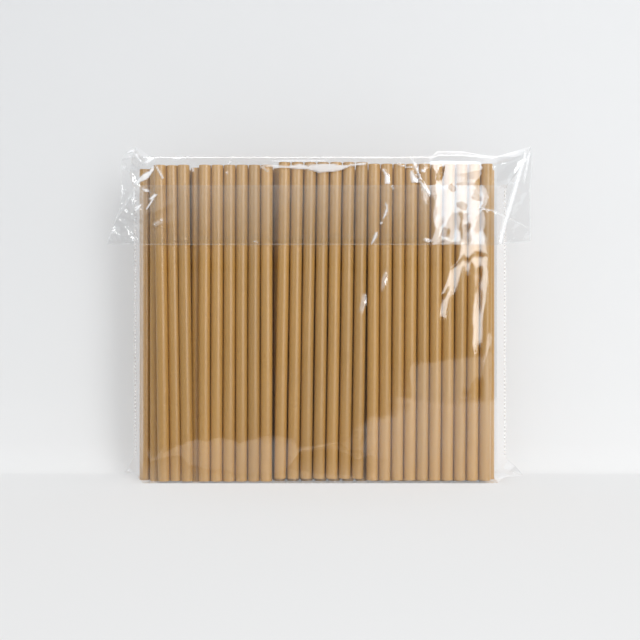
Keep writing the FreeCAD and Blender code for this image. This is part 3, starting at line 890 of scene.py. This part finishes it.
def stage_paper():
    """Matt paper, with a painted glow of its own for the camera so that it looks pale and even, paler low
    down; for the film's reflection it is painted bright near the pack and dark further off.
    """
    material, tree = shader_tree("pale_sheet")
    place = add(tree, "ShaderNodeTexCoord").outputs["Object"]
    cloud = add(tree, "ShaderNodeTexNoise", {"Vector": place, "Scale": 3.0}).outputs["Fac"]
    colour = ramp(tree, cloud, (0.3, [c * 0.985 for c in SHEET_TONE]), (0.7, SHEET_TONE))
    where = add(tree, "ShaderNodeSeparateXYZ", {0: place}).outputs
    # painted reflection, for glossy rays only: near ground painted bright, far ground dark, and the bright
    # part reaches further on the right
    rightwards = add(tree, "ShaderNodeMapRange", {
        "Value": where["X"], "From Min": 0.03, "From Max": 0.11, "To Min": 0.0, "To Max": 0.50,
    }).outputs[0]
    patch = add(tree, "ShaderNodeTexVoronoi", {"Vector": place, "Scale": 9.0}).outputs["Color"]
    patch = add(tree, "ShaderNodeMapRange", {
        "Value": patch, "From Min": 0.0, "From Max": 1.0, "To Min": -0.16, "To Max": 0.12,
    }).outputs[0]
    reach = add(tree, "ShaderNodeMath", {0: where["Y"], 1: rightwards}, operation="ADD").outputs[0]
    reach = add(tree, "ShaderNodeMath", {0: reach, 1: patch}, operation="ADD").outputs[0]
    sunlit = add(tree, "ShaderNodeMapRange", {
        "Value": where["X"], "From Min": -0.15, "From Max": 0.05, "To Min": 1.15, "To Max": 1.5,
    }).outputs[0]
    painted_reflection = add(tree, "ShaderNodeMapRange", {
        "Value": reach, "From Min": -0.24, "From Max": -0.12, "To Min": 0.14, "To Max": sunlit,
    }).outputs[0]
    rays = add(tree, "ShaderNodeLightPath").outputs
    shown = add(tree, "ShaderNodeMapRange", {
        "Value": rays["Is Glossy Ray"], "To Min": 1.0, "To Max": painted_reflection,
    }).outputs[0]
    colour = add(tree, "ShaderNodeVectorMath", {0: colour, "Scale": shown}, operation="SCALE").outputs[0]
    matt = add(tree, "ShaderNodeBsdfDiffuse", {"Color": colour}).outputs[0]
    # what the camera sees: a painted glow, paler low down and a little brighter on the floor towards the
    # sweep, standing in for how the light falls on the sheet
    height = add(tree, "ShaderNodeMapRange", {"Value": where["Z"], "From Max": 0.35}).outputs[0]
    seen = ramp(
        tree, height,
        (0.0, (0.855, 0.862, 0.865)), (0.12, (0.835, 0.850, 0.860)), (0.5, (0.735, 0.755, 0.775)),
        (1.0, (0.665, 0.685, 0.710)),
    )
    deep = add(tree, "ShaderNodeMapRange", {
        "Value": where["Y"], "From Min": -0.22, "From Max": 0.01, "To Min": 1.01, "To Max": 1.06,
    }).outputs[0]
    lift = add(tree, "ShaderNodeMapRange", {
        "Value": where["Z"], "From Max": 0.02, "To Min": deep, "To Max": 1.0,
    }).outputs[0]
    glow = add(tree, "ShaderNodeEmission", {"Color": seen, "Strength": lift}).outputs[0]
    share = add(tree, "ShaderNodeMath", {
        0: rays["Is Camera Ray"], 1: SEEN_SHARE,
    }, operation="MULTIPLY").outputs[0]
    matt = add(tree, "ShaderNodeMixShader", {0: share, 1: matt, 2: glow}).outputs[0]
    # the room's light reaches the pack's back through the upright part of the sheet
    back = add(tree, "ShaderNodeNewGeometry").outputs["Backfacing"]
    upright = add(tree, "ShaderNodeMath", {
        0: where["Z"], 1: UPRIGHT_FROM,
    }, operation="GREATER_THAN").outputs[0]
    light = add(tree, "ShaderNodeMath", {
        0: rays["Is Diffuse Ray"], 1: rays["Is Shadow Ray"],
    }, operation="MAXIMUM").outputs[0]
    passing = add(tree, "ShaderNodeMath", {0: light, 1: upright}, operation="MULTIPLY").outputs[0]
    passing = add(tree, "ShaderNodeMath", {0: passing, 1: back}, operation="MAXIMUM").outputs[0]
    clear = add(tree, "ShaderNodeBsdfTransparent").outputs[0]
    whole = add(tree, "ShaderNodeMixShader", {0: passing, 1: matt, 2: clear}).outputs[0]
    add(tree, "ShaderNodeOutputMaterial", {"Surface": whole})
    return material


def stage_sheet():
    """The sheet as one strip of faces that follows its side view."""
    profile = [(-SHEET_HALF, 0.0)]
    for step in range(SWEEP_STEPS + 1):
        angle = math.radians(90 * step / SWEEP_STEPS)
        profile.append((
            SWEEP_Y - SWEEP_DEPTH + SWEEP_DEPTH * math.sin(angle),
            SWEEP_RISE - SWEEP_RISE * math.cos(angle),
        ))
    profile.append((SWEEP_Y, SHEET_HEIGHT))
    corners = [(x, y, z) for y, z in profile for x in (-SHEET_HALF, SHEET_HALF)]
    faces = [(k, k + 1, k + 3, k + 2) for k in range(0, len(corners) - 2, 2)]
    mesh = bpy.data.meshes.new("pale_sheet")
    mesh.from_pydata(corners, [], faces)
    mesh.materials.append(stage_paper())
    mesh.shade_smooth()
    sheet = bpy.data.objects.new("pale_sheet", mesh)
    bpy.context.collection.objects.link(sheet)


stage_sheet()

# Light
# A large soft window on the right and a pale room. The bright parts of the room that the
# flat front of the film mirrors hang beside the camera, as far from the film as it is.

EYE_HEIGHT = 103 * MM
MIRRORED_Y = -0.617
FRONT_WALL_Y = -0.622
GAP_RADIANCE = 5.6


def softbox(name, place, aim, width, height, radiance, diffuse=True):
    """A rectangular lamp at a place, aimed at a point and as bright as a wall would be."""
    light = bpy.data.lights.new(name, "AREA")
    light.shape = "RECTANGLE"
    light.size = width
    light.size_y = height
    light.energy = radiance * width * height * math.pi
    lamp = bpy.data.objects.new(name, light)
    lamp.location = place
    lamp.rotation_euler = (Vector(aim) - Vector(place)).to_track_quat("-Z", "Y").to_euler()
    lamp.visible_diffuse = diffuse
    lamp.visible_camera = False
    bpy.context.collection.objects.link(lamp)
    return lamp


def mirrored(x, z, y=MIRRORED_Y):
    """The point of the room that the camera sees in the flat film at x, z in mm."""
    return 2 * x * MM, y, 2 * z * MM - EYE_HEIGHT


def lit_shape(name, corners, radiance, fade=None, tint=(0.93, 0.99, 1.0, 1), shift=0):
    """A bright piece of the room, outlined in mm as it shows in the flat front of the film."""
    mesh = bpy.data.meshes.new(name)
    depth = FRONT_WALL_Y if fade else MIRRORED_Y
    outline = [mirrored(x + shift, z, depth) for x, z in corners]
    mesh.from_pydata(outline, [], [range(len(outline))])
    material, tree = shader_tree(name)
    if fade:
        place = add(tree, "ShaderNodeTexCoord").outputs["Object"]
        height = add(tree, "ShaderNodeSeparateXYZ", {0: place}).outputs["Z"]
        low, high = [mirrored(0, z)[2] for z in fade]
        radiance = add(tree, "ShaderNodeMapRange", {
            "Value": height, "From Min": low, "From Max": high, "To Max": radiance,
        }).outputs[0]
    glow = add(tree, "ShaderNodeEmission", {"Color": tint, "Strength": radiance}).outputs[0]
    add(tree, "ShaderNodeOutputMaterial", {"Surface": glow})
    mesh.materials.append(material)
    shape = bpy.data.objects.new(name, mesh)
    shape.visible_camera = False
    shape.visible_diffuse = False
    shape.visible_transmission = False
    shape.visible_volume_scatter = False
    shape.visible_shadow = False
    bpy.context.collection.objects.link(shape)


softbox(
    "window", (0.74, -1.18, 0.48), aim=(0, 0, 0.1), width=0.44, height=1.0, radiance=7.4,
)
softbox(
    "skylight", (0, -0.55, 1.0), aim=(0, 0, 0.15), width=1.4, height=0.45, radiance=6.0,
    diffuse=False,
)
ceiling = softbox(
    "ceiling", (0, -0.3, 1.6), aim=(0, -0.3, 0), width=2.2, height=2.0, radiance=0.35,
)
ceiling.visible_glossy = False
softbox(
    "left_glint", (-0.55, -0.64, 0.41), aim=(-0.12, 0, 0.19), width=0.16, height=0.16,
    radiance=13.0, diffuse=False,
)
softbox(
    "left_wall", (-1.2, -0.2, 0.5), aim=(0, 0, 0.1), width=1.2, height=1.0, radiance=0.5,
    diffuse=False,
)
lit_shape(
    "front_wall", ((-400, 135), (400, 135), (400, 454), (-400, 454)), radiance=0.85,
    fade=(135, 190),
)
lit_shape("window_top", (
    (70.0, 206.3), (70.0, 190.2), (72.2, 189.7), (100.3, 189.9), (100.9, 197.5), (100.3, 206.9),
), radiance=7.6, tint=(0.84, 0.96, 1.06, 1))
lit_shape("window_pane", (
    (72.2, 189.7), (73.8, 186.1), (71.9, 181.1), (73.2, 178.5),
    (72.6, 172.2), (73.8, 167.2), (75.1, 160.9), (73.8, 155.2), (75.7, 151.0), (86.4, 151.0),
    (85.8, 159.6), (86.4, 168.5), (92.1, 171.0), (91.5, 163.4), (92.1, 157.1), (90.2, 150.8),
    (104.1, 150.8), (101.2, 158.4), (100.9, 167.2), (102.0, 174.8), (100.9, 181.1), (99.0, 189.9),
), radiance=5.0, tint=(0.86, 0.97, 1.05, 1))
lit_shape("pale_wall", (
    (38.0, 51.6), (57.0, 51.6), (57.0, 70.0), (60.0, 74.0), (80.0, 77.0), (96.0, 80.0), (112.0, 84.0),
    (112.0, 51.6), (104.0, 51.6), (105.0, 64.0), (101.0, 70.0), (92.0, 60.0), (88.0, 51.6),
), radiance=1.0)
lit_shape("window_sill", (
    (83.9, 135.4), (88.3, 140.1), (95.9, 144.7), (100.9, 146.2), (106.4, 144.2), (104.7, 147.0),
    (103.5, 150.5), (91.5, 150.5), (89.0, 145.7), (85.8, 139.4),
), radiance=GAP_RADIANCE, shift=0.8)
lit_shape("gap_on_the_right", (
    (96.9, 142.0), (96.9, 140.7), (99.7, 137.5), (100.9, 134.4), (99.7, 114.2), (97.8, 104.7),
    (98.8, 95.3), (100.3, 81.4), (102.6, 90.2), (103.6, 102.8), (104.6, 112.9), (104.8, 115.5),
    (106.2, 131.9), (106.8, 139.4), (107.2, 143.0),
), radiance=GAP_RADIANCE)
lit_shape("gap_on_the_left", (
    (96.2, 140.7), (93.4, 138.8), (88.3, 136.7), (84.5, 135.0), (81.4, 126.2), (78.0, 118.6),
    (83.3, 121.8), (86.4, 124.3), (85.6, 120.5), (81.4, 114.8), (78.0, 107.3), (82.0, 104.1),
    (85.2, 115.5), (86.4, 118.0), (90.2, 128.1), (93.4, 133.8),
), radiance=GAP_RADIANCE, shift=0.5)
lit_shape("gap_at_the_edge", (
    (110.4, 95.3), (108.5, 92.7), (103.5, 80.1), (102.8, 73.2), (106.6, 80.1), (111.0, 89.0),
), radiance=3.0)

world = bpy.data.worlds.new("pale_room")
bpy.context.scene.world = world
world.use_nodes = True
world.node_tree.nodes.clear()
room = world.node_tree
rays = add(room, "ShaderNodeLightPath").outputs
seen = add(room, "ShaderNodeBackground", {"Color": (0.82, 0.825, 0.83, 1), "Strength": 1.0}).outputs[0]
ambient = add(room, "ShaderNodeBackground", {"Color": (0.97, 0.985, 1.0, 1), "Strength": 0.70}).outputs[0]
dim = add(room, "ShaderNodeBackground", {"Color": (0.95, 0.97, 1.0, 1), "Strength": 0.10}).outputs[0]
lit = add(room, "ShaderNodeMixShader", {0: rays["Is Glossy Ray"], 1: ambient, 2: dim}).outputs[0]
whole = add(room, "ShaderNodeMixShader", {0: rays["Is Camera Ray"], 1: lit, 2: seen}).outputs[0]
add(room, "ShaderNodeOutputWorld", {"Surface": whole})

# Camera
# Level with the middle of the pack and square to it, as in the photograph. The frame is
# as wide as the photograph shows at the front of the straws.

IMAGE_WIDTH = 640
PIXELS_PER_MM = 1.585
HALF_FRAME = IMAGE_WIDTH / 2 / PIXELS_PER_MM * MM
CAMERA_DISTANCE = 600 * MM
SENSOR = 36.0
front_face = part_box("straw_front_05")[0].y

eye = bpy.data.cameras.new("camera")
eye.sensor_width = SENSOR
eye.lens = SENSOR / 2 * CAMERA_DISTANCE / HALF_FRAME
camera = bpy.data.objects.new("camera", eye)
camera.location = (0, front_face - CAMERA_DISTANCE, EYE_HEIGHT)
camera.rotation_euler = (math.pi / 2, 0, 0)
bpy.context.collection.objects.link(camera)
bpy.context.scene.camera = camera
bpy.context.scene.view_settings.view_transform = "Standard"
